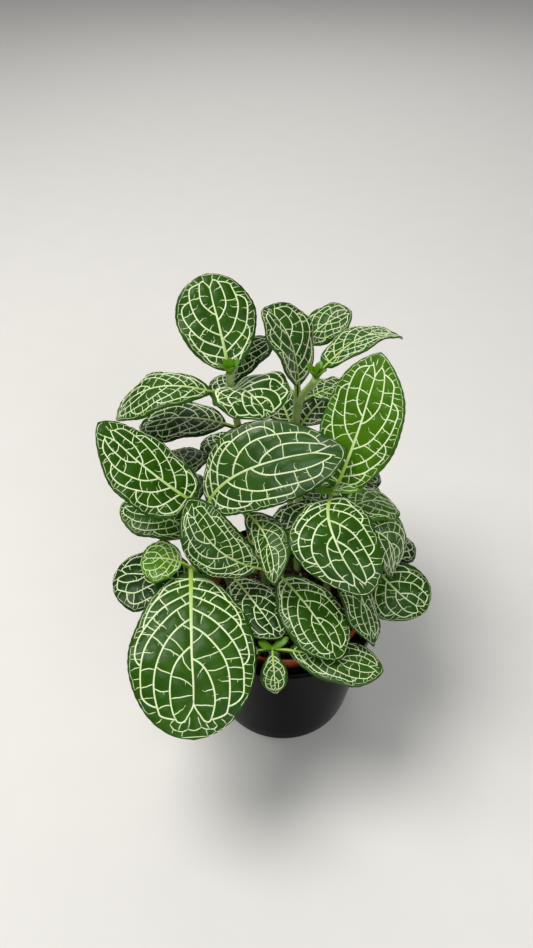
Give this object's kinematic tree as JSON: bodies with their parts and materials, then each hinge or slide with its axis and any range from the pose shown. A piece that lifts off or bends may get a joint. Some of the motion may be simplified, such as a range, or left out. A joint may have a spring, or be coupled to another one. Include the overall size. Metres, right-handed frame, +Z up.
{
  "type": "potted nerve plant",
  "caption": "Bushy nerve plant with net-veined oval leaves on upright stems, in a thin nursery pot set inside a tapered round cachepot.",
  "frame": {"origin": "centre of the cachepot's flat foot, on the surface it stands on", "axes": "+Z up, -Y towards the plant's front, where its largest leaf hangs over the rim; +X to the viewer's right"},
  "size_m": [0.1719, 0.2139, 0.2358],
  "materials": {
    "cachepot": "gloss",
    "nursery_pot": "satin",
    "soil": "matte",
    "stem": "satin",
    "leaf": "satin"
  },
  "bodies": {
    "root": {"cachepot": "cachepot", "leaf_back_left_1": "leaf", "leaf_back_left_2": "leaf", "leaf_back_left_3": "leaf", "leaf_back_left_4": "leaf", "leaf_back_left_5": "leaf", "leaf_back_left_6": "leaf", "leaf_back_left_7": "leaf", "leaf_back_left_8": "leaf", "leaf_back_low_1": "leaf", "leaf_back_low_2": "leaf", "leaf_back_middle_1": "leaf", "leaf_back_middle_2": "leaf", "leaf_back_middle_3": "leaf", "leaf_back_middle_4": "leaf", "leaf_back_right_1": "leaf", "leaf_back_right_2": "leaf", "leaf_back_right_3": "leaf", "leaf_back_right_4": "leaf", "leaf_centre_1": "leaf", "leaf_centre_2": "leaf", "leaf_far_left_1": "leaf", "leaf_far_left_2": "leaf", "leaf_far_left_3": "leaf", "leaf_front_left_1": "leaf", "leaf_front_left_2": "leaf", "leaf_front_left_3": "leaf", "leaf_front_low_1": "leaf", "leaf_front_low_2": "leaf", "leaf_front_low_3": "leaf", "leaf_front_middle_1": "leaf", "leaf_front_middle_2": "leaf", "leaf_left_1": "leaf", "leaf_left_2": "leaf", "leaf_left_3": "leaf", "leaf_left_4": "leaf", "leaf_right_1": "leaf", "leaf_right_2": "leaf", "leaf_right_3": "leaf", "leaf_right_4": "leaf", "leaf_right_5": "leaf", "leaf_right_6": "leaf", "leaf_right_low_1": "leaf", "leaf_right_low_2": "leaf", "nursery_pot": "nursery_pot", "soil": "soil", "stem_back_left": "stem", "stem_back_low": "stem", "stem_back_middle": "stem", "stem_back_right": "stem", "stem_centre": "stem", "stem_far_left": "stem", "stem_front_left": "stem", "stem_front_low": "stem", "stem_front_middle": "stem", "stem_left": "stem", "stem_right": "stem", "stem_right_low": "stem"}
  },
  "joints": []
}
